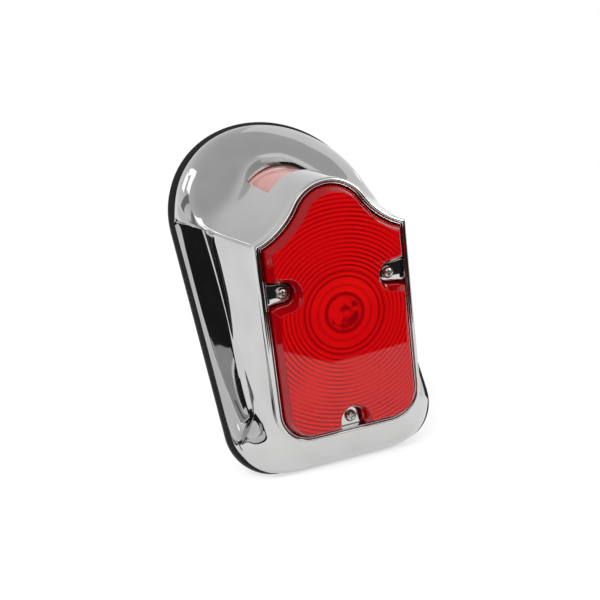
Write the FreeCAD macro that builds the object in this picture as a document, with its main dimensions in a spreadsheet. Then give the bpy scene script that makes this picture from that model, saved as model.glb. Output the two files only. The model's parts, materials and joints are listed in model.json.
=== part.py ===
import FreeCAD, Part
import math
import os
import Sketcher

# Tombstone tail light for a motorcycle fender: one document, one object per piece.
# Row frame: +Z up, +X to the right seen from behind the motorcycle, the lens faces -Y.
# The origin is on the back face of the base gasket, which leans by base_tilt.
# Lens frame: x right, y up, z out of the lens face; z = 0 is the lens face.
# Base frame: x right, y up along the gasket, z away from the fender; z = 0 is its back face.

DIMENSIONS = {
    # how the two frames stand to each other
    "base_tilt": (32.0, "lean of the mounting plane from the lens plane, degrees"),
    "lens_reach": (78.5, "lens face in front of the origin"),
    "lens_rise": (2.0, "bull's-eye above the origin"),
    # base outlines, up from the mounting centre: half round on top, rounded corners below
    "gasket_half_width": (54.2, "half width of the gasket"),
    "gasket_top": (94.0, "top of the gasket above the base centre"),
    "gasket_foot": (94.6, "lower edge of the gasket below the base centre"),
    "gasket_corner": (23.0, "lower corner radius of the gasket"),
    "gasket_thick": (3.5, "gasket thickness"),
    "gasket_band": (8.0, "width of the gasket's band round its edge"),
    "gasket_bar": (14.0, "half height of the gasket's middle bar"),
    "pan_half_width": (52.3, "half width of the housing where it meets the gasket"),
    "pan_top": (92.0, "top of the housing above the base centre"),
    "pan_foot": (96.2, "lower edge of the housing below the base centre"),
    "pan_corner": (23.0, "lower corner radius of the housing"),
    "pan_lip": (1.4, "upright lip of the housing above the gasket"),
    "dome_rise": (19.0, "height of the dome above its lip"),
    "dome_side": (10.0, "how far the dome leans in at its sides"),
    "dome_end": (77.0, "how far the long slope of the dome leans in at the top end"),
    "dome_cap": (44.0, "most that the top end leans in"),
    "wall": (1.5, "sheet and die-cast wall of the housing"),
    # outline of the lens body, measured from the bull's-eye
    "lens_half_width": (33.4, "half width of the lens"),
    "lens_shoulder": (34.0, "height of the shoulders"),
    "lens_apex": (58.1, "height of the crest"),
    "lens_crest": (17.0, "radius of the crest"),
    "lens_foot": (57.5, "depth of the lower edge"),
    "lens_corner": (13.5, "lower corner radius of the lens"),
    "cove_angle": (22.0, "slope of the coves where they meet the shoulders, degrees"),
    # levels in the lens frame, all behind the lens face
    "face_inset": (2.9, "flat lens face inside the lens body"),
    "face_step": (4.5, "depth of the sloping lens edge"),
    "rim_level": (10.0, "front edge of the housing"),
    "flange_thick": (1.5, "lens flange thickness"),
    "ledge_level": (13.0, "ledge that carries the lens seal"),
    "lens_wall": (2.5, "lens thickness"),
    "draft": (0.3, "how far the lens wall leans in to its step"),
    "rim_grow": (3.0, "housing rim outside the lens body"),
    "flange_grow": (1.5, "lens flange outside the lens body"),
    "rabbet_grow": (1.8, "pocket for the flange outside the lens body"),
    "ledge_inset": (4.0, "front opening inside the lens body"),
    "bezel_grow": (3.0, "bezel outside the lens body"),
    "bezel_gap": (0.2, "bezel opening outside the lens body"),
    "bezel_high": (5.0, "height of the bezel bead"),
    "bezel_round": (1.25, "rounding of the bezel bead"),
    # back end of the front box, where it sinks into the dome
    "box_depth": (110.0, "length of the front box behind the lens face"),
    "box_half_width": (53.0, "half width at its back end"),
    "box_shoulder": (38.0, "shoulder height at its back end"),
    "box_apex": (63.0, "crest height at its back end"),
    "box_crest": (32.0, "crest radius at its back end"),
    "box_foot": (77.0, "lower edge at its back end"),
    "box_corner": (30.0, "lower corner radius at its back end"),
    # side flutes
    "flute_radius": (53.0, "radius of the hollow"),
    "flute_axis_out": (94.4, "hollow axis from the centre plane"),
    "flute_axis_up": (37.2, "hollow axis above the gasket back face"),
    # lens screws
    "screw_out": (26.0, "side screws from the centre"),
    "screw_up": (12.6, "side screws above the bull's-eye"),
    "screw_down": (52.5, "lower screw below the bull's-eye"),
    "screw_radius": (1.5, "screw shank radius"),
    "screw_length": (11.0, "screw shank length"),
    "head_radius": (2.8, "pan head radius"),
    "head_high": (2.0, "pan head height"),
    "recess_wide": (0.8, "width of the cross recess"),
    "recess_long": (3.2, "length of the cross recess"),
    "recess_deep": (1.2, "depth of the cross recess"),
    "notch_radius": (5.4, "lens notch round each screw"),
    "tab_radius": (4.4, "bezel tab round each screw"),
    "tab_thick": (1.5, "bezel tab thickness"),
    "tab_level": (8.2, "front face of the tabs"),
    "tab_hole": (1.7, "screw hole radius in the tabs"),
    "insert_radius": (3.9, "rivet nut head radius"),
    "insert_body": (3.0, "rivet nut body radius"),
    "insert_length": (9.0, "rivet nut body length"),
    "insert_bore": (1.55, "rivet nut bore radius"),
    # number-plate window
    "window_front": (40.0, "front edge of the window behind the lens face"),
    "window_back": (76.0, "rear edge of the window behind the lens face"),
    "window_half": (17.0, "half width of the window opening"),
    "window_lap": (3.0, "overlap of the pane behind the opening"),
    "window_seal": (0.8, "window seal thickness"),
    "window_pane": (1.8, "window pane thickness"),
    "window_frame": (1.0, "retaining frame thickness"),
    # back plate and its fasteners
    "plate_gap": (0.15, "play between the back plate and the housing wall"),
    "play": (0.3, "play round parts that are laid into each other"),
    "press_gap": (0.05, "gap between faces that press on each other"),
    "plate_thick": (1.5, "back plate thickness"),
    "sink_deep": (1.3, "depth of the countersunk screw heads in the back plate"),
    "mount_radius": (2.5, "weld nut bore radius, M6 tapping size"),
    "mount_clear": (3.3, "bolt clearance radius in plate and gasket"),
    "mount_nut_flats": (10.0, "weld nut across flats"),
    "mount_nut_high": (5.0, "weld nut height"),
    "mount_top": (68.0, "upper weld nut above the base centre"),
    "mount_low": (60.0, "lower weld nuts below the base centre"),
    "mount_side": (26.0, "lower weld nuts from the centre"),
    "lug_size": (9.0, "side of a plate lug"),
    "lug_high": (9.0, "height of a plate lug"),
    "lug_out": (43.0, "plate screws from the centre"),
    "lug_top": (34.0, "upper plate screws above the base centre"),
    "lug_low": (42.0, "lower plate screws below the base centre"),
    "grommet_up": (34.0, "cable grommet above the base centre"),
    "grommet_radius": (7.0, "grommet flange radius"),
    "grommet_neck": (5.0, "grommet groove radius"),
    "grommet_bore": (3.0, "grommet bore radius"),
    # bulb holder, levels behind the lens face
    "holder_front": (36.0, "mouth of the bulb holder"),
    "holder_back": (66.4, "end of the holder bore"),
    "holder_bore": (7.6, "holder bore radius"),
    "holder_outer": (8.5, "holder outer radius"),
    "holder_end": (1.5, "thickness of the insulating end disc"),
    "slot_play": (0.2, "play of a bayonet pin in its slot"),
    "bulb_travel": (2.0, "push travel of the bulb"),
    "bulb_twist": (25.0, "twist of the bulb, degrees"),
    "bracket_level": (56.0, "front of the bracket plate"),
    "bracket_sheet": (1.2, "bracket sheet thickness"),
    "bracket_half_width": (24.0, "bracket half width outside"),
    "bracket_half_high": (12.0, "bracket half height"),
    "foot_long": (11.0, "bracket foot length"),
    "rivet_radius": (1.6, "bracket rivet radius"),
    "disc_front": (59.0, "front of the contact disc"),
    "disc_radius": (7.3, "contact disc radius"),
    "disc_thick": (2.5, "contact disc thickness"),
    "contact_out": (3.3, "contacts from the bulb axis"),
    "contact_radius": (1.4, "contact radius"),
    "spring_wire": (0.35, "contact spring wire radius"),
    "spring_radius": (6.2, "contact spring mean radius"),
    "spring_turns": (3.0, "contact spring turns"),
    # bulb with a 15 mm bayonet cap
    "cap_radius": (7.5, "bulb cap radius"),
    "cap_front": (39.0, "front edge of the bulb cap"),
    "cap_back": (57.4, "rear edge of the bulb cap"),
    "seal_thick": (0.8, "glass button at the end of the cap"),
    "seal_radius": (6.4, "radius of the glass button"),
    "dot_radius": (1.9, "contact dot radius"),
    "pin_radius": (1.0, "bayonet pin radius"),
    "pin_reach": (8.9, "bayonet pin end from the axis"),
    "pin_near": (47.0, "front bayonet pin"),
    "pin_far": (50.0, "rear bayonet pin"),
    "globe_radius": (12.5, "bulb glass radius"),
    "globe_level": (24.0, "widest place of the bulb glass"),
    "globe_neck": (7.0, "bulb glass neck radius"),
    "glass_wall": (0.8, "bulb glass thickness"),
    "stem_radius": (2.4, "bulb stem radius"),
    "stem_front": (31.0, "front of the bulb stem"),
    "support_radius": (0.3, "support wire radius"),
    "filament_tail": (21.0, "level of the tail filament"),
    "filament_stop": (26.0, "level of the stop filament"),
    "filament_radius": (0.45, "coiled filament radius"),
}

doc = FreeCAD.newDocument("tail_light")
sheet = doc.addObject("Spreadsheet::Sheet", "dims")
for row, (alias, (size, meaning)) in enumerate(DIMENSIONS.items(), start=1):
    sheet.set(f"A{row}", meaning)
    sheet.set(f"B{row}", str(size))
    sheet.setAlias(f"B{row}", alias)
doc.recompute()

NODES = []
X_AXIS = FreeCAD.Vector(1, 0, 0)
Z_AXIS = FreeCAD.Vector(0, 0, 1)
SIDES = (-1, 1)
ROOMY = 400.0
# slopes of the dome at its sections, degrees
DOME_SLOPES = (0, 20, 40, 58, 75)
# flute corners, along and above the base: the upper step, the ridge, the tip, the lower edge
FLUTE_OUTLINE = (
    (40.0, 7.0), (22.0, 42.0), (1.0, 41.5), (-27.0, 30.0),
    (-46.0, 21.5), (-65.0, 15.5), (-75.5, 12.0), (-76.0, 9.5), (-70.0, 7.0),
)


def dim(alias):
    """A driving dimension, read back from the sheet."""
    return float(sheet.get(alias))


def formula(text):
    """The number that an expression on the sheet gives."""
    result = sheet.evalExpression(text)
    return float(getattr(result, "Value", result))


LENS = FreeCAD.Placement(
    FreeCAD.Vector(0, -dim("lens_reach"), dim("lens_rise")), FreeCAD.Rotation(X_AXIS, 90)
)
BASE = FreeCAD.Placement(
    FreeCAD.Vector(0, 0, 0), FreeCAD.Rotation(X_AXIS, 90 - dim("base_tilt"))
)
SCREWS = (
    (-dim("screw_out"), dim("screw_up")),
    (dim("screw_out"), dim("screw_up")),
    (0.0, -dim("screw_down")),
)
MOUNT_BOLTS = (
    (0.0, dim("mount_top")),
    (-dim("mount_side"), -dim("mount_low")),
    (dim("mount_side"), -dim("mount_low")),
)
PLATE_SCREWS = tuple(
    (side * dim("lug_out"), up) for side in SIDES for up in (dim("lug_top"), -dim("lug_low"))
)


# ---------------------------------------------------------------- small tools


def keep(obj, label):
    """Marks an object as a finished piece."""
    obj.Label = label
    NODES.append(obj)
    return obj


def feature(label, shape, frame):
    """A piece whose shape is worked out by functions, placed by its frame."""
    obj = doc.addObject("Part::Feature", label)
    obj.Shape = shape
    obj.Placement = frame
    return keep(obj, label)


def shifted(frame, x, y, z):
    return frame.multiply(FreeCAD.Placement(FreeCAD.Vector(x, y, z), FreeCAD.Rotation()))


def cylinder(name, radius, high, frame):
    obj = doc.addObject("Part::Cylinder", name)
    obj.setExpression("Radius", radius)
    obj.setExpression("Height", high)
    obj.Placement = frame
    return obj


def box(name, along_x, along_y, along_z, frame):
    obj = doc.addObject("Part::Box", name)
    obj.setExpression("Length", along_x)
    obj.setExpression("Width", along_y)
    obj.setExpression("Height", along_z)
    obj.Placement = frame
    return obj


def cut(name, base, tool):
    obj = doc.addObject("Part::Cut", name)
    obj.Base = base
    obj.Tool = tool
    return obj


def joined(name, pieces):
    obj = doc.addObject("Part::MultiFuse", name)
    obj.Shapes = pieces
    return obj


def grouped(name, pieces):
    """Separate solids that share one node."""
    obj = doc.addObject("Part::Compound", name)
    obj.Links = pieces
    return obj


def disc(x, y, radius, low, high):
    """A plain round solid for the worked-out shapes."""
    return Part.makeCylinder(radius, high - low, FreeCAD.Vector(x, y, low))


def block(x0, x1, y0, y1, z0, z1):
    return Part.makeBox(x1 - x0, y1 - y0, z1 - z0, FreeCAD.Vector(x0, y0, z0))


def origin_plane(body, role):
    return next(p for p in body.Origin.OriginFeatures if p.Role == role)


def turned(label, profile, frame):
    """A piece turned about its frame's z axis; profile is (radius, level) expressions."""
    body = doc.addObject("PartDesign::Body", label)
    sketch = body.newObject("Sketcher::SketchObject", label + "_profile")
    sketch.AttachmentSupport = [(origin_plane(body, "XZ_Plane"), "")]
    sketch.MapMode = "FlatFace"
    places = [FreeCAD.Vector(formula(r), formula(z), 0) for r, z in profile]
    count = len(places)
    for i in range(count):
        sketch.addGeometry(Part.LineSegment(places[i], places[(i + 1) % count]), False)
    for i in range(count):
        sketch.addConstraint(Sketcher.Constraint("Coincident", i, 2, (i + 1) % count, 1))
    for i, (radius, level) in enumerate(profile):
        if radius == "0":
            sketch.addConstraint(Sketcher.Constraint("PointOnObject", i, 1, -2))
        else:
            bind(sketch, "DistanceX", i, places[i].x, f"across_{i}", radius)
        bind(sketch, "DistanceY", i, places[i].y, f"level_{i}", level)
    doc.recompute()
    solid = body.newObject("PartDesign::Revolution", label + "_turn")
    solid.Profile = sketch
    solid.ReferenceAxis = (sketch, ["V_Axis"])
    solid.Angle = 360.0
    body.Placement = frame
    return body


def bind(sketch, kind, line, size, name, text):
    """A named sketch dimension from the sketch's origin to a line's start."""
    number = sketch.addConstraint(Sketcher.Constraint(kind, -1, 1, line, 1, size))
    sketch.renameConstraint(number, name)
    sketch.setExpression("Constraints." + name, text)


# ---------------------------------------------------------------- outlines


def crest_wire(half_width, shoulder, apex, crest, foot, corner, grow, level):
    """The bell-topped outline, grown by an even distance, at a level of the lens frame."""
    slope = math.radians(dim("cove_angle"))
    rise = shoulder - (apex - crest)
    cove = (crest**2 - half_width**2 - rise**2) / (
        2 * half_width * math.sin(slope) + 2 * rise * math.cos(slope) - 2 * crest
    )
    cove_x = half_width + cove * math.sin(slope)
    cove_y = shoulder + cove * math.cos(slope)
    middle_y = apex - crest
    crest_r = crest + grow
    cove_r = cove - grow
    wide = half_width + grow
    low = -foot - grow
    corner_r = corner + grow
    lean = math.atan2(cove_y - middle_y, cove_x)
    meet = FreeCAD.Vector(crest_r * math.cos(lean), middle_y + crest_r * math.sin(lean), level)
    end_y = cove_y - math.sqrt(cove_r**2 - (wide - cove_x) ** 2)
    end = FreeCAD.Vector(wide, end_y, level)
    turn = (lean + math.pi + math.atan2(end_y - cove_y, wide - cove_x) + 2 * math.pi) / 2
    inside = FreeCAD.Vector(
        cove_x + cove_r * math.cos(turn), cove_y + cove_r * math.sin(turn), level
    )
    side = FreeCAD.Vector(wide, low + corner_r, level)
    bend = corner_r * (1 - math.sqrt(0.5))
    elbow = FreeCAD.Vector(wide - bend, low + bend, level)
    floor = FreeCAD.Vector(wide - corner_r, low, level)
    top = FreeCAD.Vector(0, apex + grow, level)

    def other(point):
        return FreeCAD.Vector(-point.x, point.y, point.z)

    edges = [
        Part.Arc(other(meet), top, meet).toShape(),
        Part.Arc(meet, inside, end).toShape(),
        Part.LineSegment(end, side).toShape(),
        Part.Arc(side, elbow, floor).toShape(),
        Part.LineSegment(floor, other(floor)).toShape(),
        Part.Arc(other(floor), other(elbow), other(side)).toShape(),
        Part.LineSegment(other(side), other(end)).toShape(),
        Part.Arc(other(end), other(inside), other(meet)).toShape(),
    ]
    return Part.Wire(edges)


def lens_wire(grow, level):
    return crest_wire(
        dim("lens_half_width"), dim("lens_shoulder"), dim("lens_apex"), dim("lens_crest"),
        dim("lens_foot"), dim("lens_corner"), grow, level,
    )


def box_wire(grow, level):
    return crest_wire(
        dim("box_half_width"), dim("box_shoulder"), dim("box_apex"), dim("box_crest"),
        dim("box_foot"), dim("box_corner"), grow, level,
    )


def lens_slab(grow, low, high):
    """A straight solid with the lens outline between two levels."""
    return Part.Face(lens_wire(grow, low)).extrude(FreeCAD.Vector(0, 0, high - low))


def base_wire(outline, grow, level, lean=0.0):
    """A base outline in the base frame: half round above, rounded corners below.

    lean pulls in the top end by that much more than the sides.
    """
    wide = dim(outline + "_half_width") + grow
    low = -dim(outline + "_foot") - grow
    corner = dim(outline + "_corner") + grow
    round_y = dim(outline + "_top") - dim(outline + "_half_width")
    bend = corner * (1 - math.sqrt(0.5))

    def at(x, y):
        return FreeCAD.Vector(x, y, level)

    def bent(side):
        near = at(side * wide, low + corner)
        far = at(side * (wide - corner), low)
        elbow = at(side * (wide - bend), low + bend)
        return near, elbow, far

    near, elbow, far = bent(1)
    near_left, elbow_left, far_left = bent(-1)
    middle = at(0, round_y)
    top_end = Part.Arc(Part.Circle(middle, Z_AXIS, wide), 0, math.pi)
    if lean:
        oval = Part.Ellipse(at(wide, round_y), at(0, round_y + wide - lean), middle)
        top_end = Part.ArcOfEllipse(oval, 0, math.pi)
    edges = [
        top_end.toShape(),
        Part.LineSegment(at(wide, round_y), near).toShape(),
        Part.Arc(near, elbow, far).toShape(),
        Part.LineSegment(far, far_left).toShape(),
        Part.Arc(far_left, elbow_left, near_left).toShape(),
        Part.LineSegment(near_left, at(-wide, round_y)).toShape(),
    ]
    return Part.Wire(Part.__sortEdges__(edges))


def base_slab(outline, grow, low, high):
    return Part.Face(base_wire(outline, grow, low)).extrude(FreeCAD.Vector(0, 0, high - low))


# ---------------------------------------------------------------- housing


def in_row(shape, frame):
    """A worked-out shape moved from its own frame to the row frame."""
    moved = shape.copy()
    moved.Placement = frame.multiply(moved.Placement)
    return moved


def dome(inside):
    """The low dome over the base: upright sides, a long slope at the top end, shrunk by inside."""
    foot = dim("gasket_thick")
    wires = [base_wire("pan", -inside, foot - inside)]
    for slope in DOME_SLOPES:
        lean = 1 - math.cos(math.radians(slope))
        rise = dim("dome_rise") * math.sin(math.radians(slope))
        side_in = dim("dome_side") * lean + inside
        end_in = min(dim("dome_end") * lean, dim("dome_cap")) + inside
        level = foot + dim("pan_lip") + rise - (inside if slope else 0.0)
        wires.append(base_wire("pan", -side_in, level, end_in - side_in))
    return in_row(Part.makeLoft(wires, True, True), BASE)


def front_box(inside):
    """The front box from the lens rim back into the dome, shrunk by inside."""
    front = -dim("rim_level")
    if inside:
        front = -dim("ledge_level") - dim("wall")
    sides = [
        lens_wire(dim("rim_grow") - inside, front),
        box_wire(-inside, -dim("box_depth")),
    ]
    tube = in_row(Part.makeLoft(sides, True, True), LENS)
    above_base = block(-ROOMY, ROOMY, -ROOMY, ROOMY, dim("gasket_thick") - inside, ROOMY)
    return tube.common(in_row(above_base, BASE))


def flute(side, inside):
    """The hollow pressed into one side; its outline is drawn in side view."""
    points = [FreeCAD.Vector(0, along, up) for along, up in FLUTE_OUTLINE]
    wire = Part.makePolygon(points + points[:1])
    if inside:
        wire = wire.makeOffset2D(inside, 0)
    across = FreeCAD.Vector(side * ROOMY / 4, 0, 0)
    prism = Part.Face(wire).extrude(across)
    axis = FreeCAD.Vector(side * dim("flute_axis_out"), -ROOMY / 2, dim("flute_axis_up"))
    hollow = Part.makeCylinder(
        dim("flute_radius") + inside, ROOMY, axis, FreeCAD.Vector(0, 1, 0)
    )
    return in_row(prism.common(hollow), BASE)


def housing_body(inside):
    """The solid form of the housing, shrunk by inside."""
    form = dome(inside).fuse(front_box(inside))
    for side in SIDES:
        form = form.cut(flute(side, inside))
    return form.removeSplitter()


def window_block(margin):
    """The space of the number-plate window in the lens frame, grown by margin."""
    half = dim("window_half") + margin
    return block(
        -half, half, dim("lens_crest") * 2, dim("lens_apex") + dim("lens_crest"),
        -dim("window_back") - margin, -dim("window_front") + margin,
    )


wall = dim("wall")
outer_form = housing_body(0.0)
inner_form = housing_body(wall)
ledge_low = -dim("ledge_level") - wall
front_opening = lens_slab(-dim("ledge_inset"), ledge_low - wall, 0.0)
for x, y in SCREWS:
    front_opening = front_opening.cut(disc(x, y, dim("insert_radius") + wall, ledge_low - wall, 0.0))
rabbet = lens_slab(dim("rabbet_grow"), -dim("ledge_level"), 0.0)
shell = outer_form.cut(inner_form)
shell = shell.cut(in_row(rabbet, LENS)).cut(in_row(front_opening, LENS))
for x, y in SCREWS:
    shell = shell.cut(in_row(disc(x, y, dim("insert_body"), ledge_low - wall, 0.0), LENS))
shell = shell.cut(in_row(window_block(0.0), LENS))
feature("housing", shell.removeSplitter(), FreeCAD.Placement())


# ---------------------------------------------------------------- lens end


def screw_holes(shape, radius, low, high):
    """The shape with a round hole at each lens screw."""
    for x, y in SCREWS:
        shape = shape.cut(disc(x, y, radius, low, high))
    return shape


def notch(x, y, radius, low, high):
    """A round-ended slot from a screw out to the nearest lens edge."""
    reach = dim("lens_apex")
    if x:
        far = math.copysign(reach, x)
        run = block(min(x, far), max(x, far), y - radius, y + radius, low, high)
    else:
        run = block(-radius, radius, y - reach, y, low, high)
    return disc(x, y, radius, low, high).fuse(run)


def lens_shape():
    """The hollow red lens: flange, sloping edge, flat face and three screw notches."""
    step = -dim("face_step")
    flange_low = -dim("rim_level") - dim("flange_thick")
    foot_grow = -dim("bezel_gap") - dim("draft") / 3
    edge_grow = foot_grow - dim("draft")
    body = Part.makeLoft(
        [lens_wire(foot_grow, flange_low), lens_wire(edge_grow, step)], True, True
    )
    cap = Part.makeLoft([lens_wire(edge_grow, step), lens_wire(-dim("face_inset"), 0.0)], True, True)
    flange = lens_slab(dim("flange_grow"), flange_low, -dim("rim_level"))
    hollow = lens_slab(-dim("face_inset") - dim("lens_wall"), flange_low, -dim("lens_wall"))
    body = body.fuse(cap).fuse(flange)
    for x, y in SCREWS:
        radius = dim("notch_radius")
        body = body.cut(notch(x, y, radius, flange_low, 0.0))
        hollow = hollow.cut(notch(x, y, radius + dim("lens_wall"), flange_low, 0.0))
    return body.cut(hollow).removeSplitter()


def bezel_shape():
    """The rounded chrome bead with its three screw tabs."""
    low = -dim("rim_level")
    top = low + dim("bezel_high")
    bead = lens_slab(dim("bezel_grow"), low, top).cut(lens_slab(dim("bezel_gap"), low, top))
    rim = [e for e in bead.Edges if e.BoundBox.ZMin > top - 0.01]
    bead = bead.makeFillet(dim("bezel_round"), rim)
    tab_top = -dim("tab_level")
    tab_low = tab_top - dim("tab_thick")
    inside = lens_slab(dim("bezel_gap") + 1.0, tab_low, tab_top)
    for x, y in SCREWS:
        bead = bead.fuse(notch(x, y, dim("tab_radius"), tab_low, tab_top).common(inside))
    return screw_holes(bead, dim("tab_hole"), tab_low, tab_top).removeSplitter()


def lens_seal_shape():
    low = -dim("ledge_level")
    high = -dim("rim_level") - dim("flange_thick")
    inner = lens_slab(-dim("ledge_inset") + 2 * dim("play"), low, high)
    ring = lens_slab(dim("flange_grow"), low, high).cut(inner)
    return screw_holes(ring, dim("insert_radius") + dim("play"), low, high)


feature("lens", lens_shape(), LENS)
feature("lens_bezel", bezel_shape(), LENS)
feature("lens_seal", lens_seal_shape(), LENS)

lens_screws = []
rivet_nuts = []
for number, (x, y) in enumerate(SCREWS, start=1):
    place = shifted(LENS, x, y, 0)
    shank = turned(
        f"screw_{number}",
        [
            ("0", "-dims.tab_level - dims.screw_length"),
            ("dims.screw_radius", "-dims.tab_level - dims.screw_length"),
            ("dims.screw_radius", "-dims.tab_level"),
            ("dims.head_radius", "-dims.tab_level"),
            ("dims.head_radius", "-dims.tab_level + dims.head_high * 0.45"),
            ("dims.head_radius * 0.72", "-dims.tab_level + dims.head_high * 0.86"),
            ("dims.head_radius * 0.4", "-dims.tab_level + dims.head_high"),
            ("0", "-dims.tab_level + dims.head_high"),
        ],
        place,
    )
    floor = dim("head_high") - dim("recess_deep") - dim("tab_level")
    half_long = dim("recess_long") / 2
    half_wide = dim("recess_wide") / 2
    cross = joined(f"recess_{number}", [
        box(f"recess_{number}_a", "dims.recess_long", "dims.recess_wide", "dims.recess_deep",
            shifted(place, -half_long, -half_wide, floor)),
        box(f"recess_{number}_b", "dims.recess_wide", "dims.recess_long", "dims.recess_deep",
            shifted(place, -half_wide, -half_long, floor)),
    ])
    lens_screws.append(cut(f"lens_screw_{number}", shank, cross))
    rivet_nuts.append(turned(
        f"rivet_nut_{number}",
        [
            ("dims.insert_bore", "-dims.ledge_level - dims.insert_length"),
            ("dims.insert_body", "-dims.ledge_level - dims.insert_length"),
            ("dims.insert_body", "-dims.ledge_level"),
            ("dims.insert_radius", "-dims.ledge_level"),
            ("dims.insert_radius", "-dims.tab_level - dims.tab_thick - dims.press_gap"),
            ("dims.insert_bore", "-dims.tab_level - dims.tab_thick - dims.press_gap"),
        ],
        place,
    ))
keep(grouped("lens_screws_group", lens_screws), "lens_screws")
keep(grouped("rivet_nuts_group", rivet_nuts), "rivet_nuts")


# ---------------------------------------------------------------- number-plate window


def window_layer(near, far, margin, hole):
    """A curved layer under the box wall, between two depths, with an optional opening."""
    layer = front_box(near).cut(front_box(far))
    layer = layer.common(in_row(window_block(margin), LENS))
    if hole is not None:
        layer = layer.cut(in_row(window_block(hole), LENS))
    return layer


seal_far = wall + dim("window_seal")
pane_far = seal_far + dim("window_pane")
frame_far = pane_far + dim("window_frame")
lap = dim("window_lap")
feature("window_seal", window_layer(wall, seal_far, lap, 0.3), FreeCAD.Placement())
feature("window_pane", window_layer(seal_far, pane_far, lap, None), FreeCAD.Placement())
feature("window_frame", window_layer(pane_far, frame_far, lap, -1.0), FreeCAD.Placement())


# ---------------------------------------------------------------- base


def drilled(shape, centres, radius, low, high):
    for x, y in centres:
        shape = shape.cut(disc(x, y, radius, low, high))
    return shape


def gasket_shape():
    """A band round the edge and a bar across the middle, open at the bolts and the cable."""
    high = dim("gasket_thick")
    bar = dim("gasket_bar")
    inside = base_slab("gasket", -dim("gasket_band"), 0.0, high)
    inside = inside.cut(block(-ROOMY, ROOMY, -bar, bar, 0.0, high))
    return base_slab("gasket", 0.0, 0.0, high).cut(inside)


def plate_shape():
    low = dim("gasket_thick")
    high = low + dim("plate_thick")
    plate = base_slab("pan", -dim("wall") - dim("plate_gap"), low, high)
    plate = drilled(plate, MOUNT_BOLTS, dim("mount_clear"), low, high)
    sink = dim("sink_deep")
    wide = dim("head_radius") + dim("press_gap")
    for x, y in PLATE_SCREWS:
        place = FreeCAD.Vector(x, y, low)
        plate = plate.cut(Part.makeCone(wide, dim("insert_bore"), sink, place))
    plate = drilled(plate, PLATE_SCREWS, dim("insert_bore"), low, high)
    rivets = [(side * foot_middle, 0.0) for side in SIDES]
    plate = drilled(plate, rivets, dim("rivet_radius"), low, high)
    return plate.cut(disc(0, dim("grommet_up"), dim("grommet_neck"), low, high))


foot_middle = dim("bracket_half_width") + dim("foot_long") / 2
plate_top = dim("gasket_thick") + dim("plate_thick")
feature("base_gasket", gasket_shape(), BASE)
feature("back_plate", plate_shape(), BASE)

nuts = []
for number, (x, y) in enumerate(MOUNT_BOLTS, start=1):
    seat = shifted(BASE, x, y, plate_top)
    hexagon = doc.addObject("Part::Prism", f"hexagon_{number}")
    hexagon.Polygon = 6
    hexagon.setExpression("Circumradius", "dims.mount_nut_flats / 2 / cos(30)")
    hexagon.setExpression("Height", "dims.mount_nut_high")
    hexagon.Placement = seat
    bore = cylinder(f"nut_bore_{number}", "dims.mount_radius", "dims.mount_nut_high", seat)
    nuts.append(cut(f"weld_nut_{number}", hexagon, bore))
keep(grouped("mount_nuts_group", nuts), "mount_nuts")

lugs = []
plate_screws = []
inner_in_base = inner_form.copy()
inner_in_base.Placement = BASE.inverse().multiply(inner_in_base.Placement)
half_lug = dim("lug_size") / 2
for number, (x, y) in enumerate(PLATE_SCREWS, start=1):
    wallward = x + math.copysign(dim("lug_size") * 1.5, x)
    rough = block(
        min(x - half_lug, wallward), max(x + half_lug, wallward), y - half_lug, y + half_lug,
        plate_top, plate_top + dim("lug_high"),
    )
    lug = rough.common(inner_in_base)
    lugs.append(lug.cut(disc(x, y, dim("insert_bore"), plate_top, plate_top + dim("lug_high"))))
    plate_screws.append(turned(
        f"plate_screw_{number}",
        [
            ("0", "dims.gasket_thick"),
            ("dims.head_radius", "dims.gasket_thick"),
            ("dims.screw_radius", "dims.gasket_thick + dims.sink_deep"),
            ("dims.screw_radius", "dims.gasket_thick + dims.lug_high"),
            ("0", "dims.gasket_thick + dims.lug_high"),
        ],
        shifted(BASE, x, y, 0),
    ))
feature("plate_lugs", Part.Compound(lugs), BASE)
keep(grouped("plate_screws_group", plate_screws), "plate_screws")

keep(turned(
    "cable_grommet",
    [
        ("dims.grommet_bore", "1.0"),
        ("dims.grommet_radius", "1.0"),
        ("dims.grommet_radius", "dims.gasket_thick"),
        ("dims.grommet_neck", "dims.gasket_thick"),
        ("dims.grommet_neck", "dims.gasket_thick + dims.plate_thick"),
        ("dims.grommet_radius", "dims.gasket_thick + dims.plate_thick"),
        ("dims.grommet_radius", "dims.gasket_thick + dims.plate_thick + 2.0"),
        ("dims.grommet_bore", "dims.gasket_thick + dims.plate_thick + 2.0"),
    ],
    shifted(BASE, 0, dim("grommet_up"), 0),
), "cable_grommet")


# ---------------------------------------------------------------- bulb holder


def bracket_shape():
    """One bent strip: a plate round the holder, two legs and two feet on the back plate."""
    sheet_thick = dim("bracket_sheet")
    wide = dim("bracket_half_width")
    tall = dim("bracket_half_high")
    front = -dim("bracket_level")
    strip = block(-wide, wide, -tall, tall, front - sheet_thick, front)
    strip = in_row(strip.cut(disc(0, 0, dim("holder_outer"), front - sheet_thick, front)), LENS)
    above_plate = in_row(block(-ROOMY, ROOMY, -ROOMY, ROOMY, plate_top, ROOMY), BASE)
    for side in SIDES:
        edge = sorted((side * wide, side * (wide - sheet_thick)))
        leg = in_row(block(edge[0], edge[1], -tall, tall, -ROOMY, front), LENS)
        strip = strip.fuse(leg.common(above_plate))
        run = sorted((side * (wide - sheet_thick), side * (wide + dim("foot_long"))))
        foot = block(run[0], run[1], -tall, tall, plate_top, plate_top + sheet_thick)
        hole = disc(side * foot_middle, 0, dim("rivet_radius"), plate_top, plate_top + sheet_thick)
        strip = strip.fuse(in_row(foot.cut(hole), BASE))
    return strip.removeSplitter()


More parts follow.
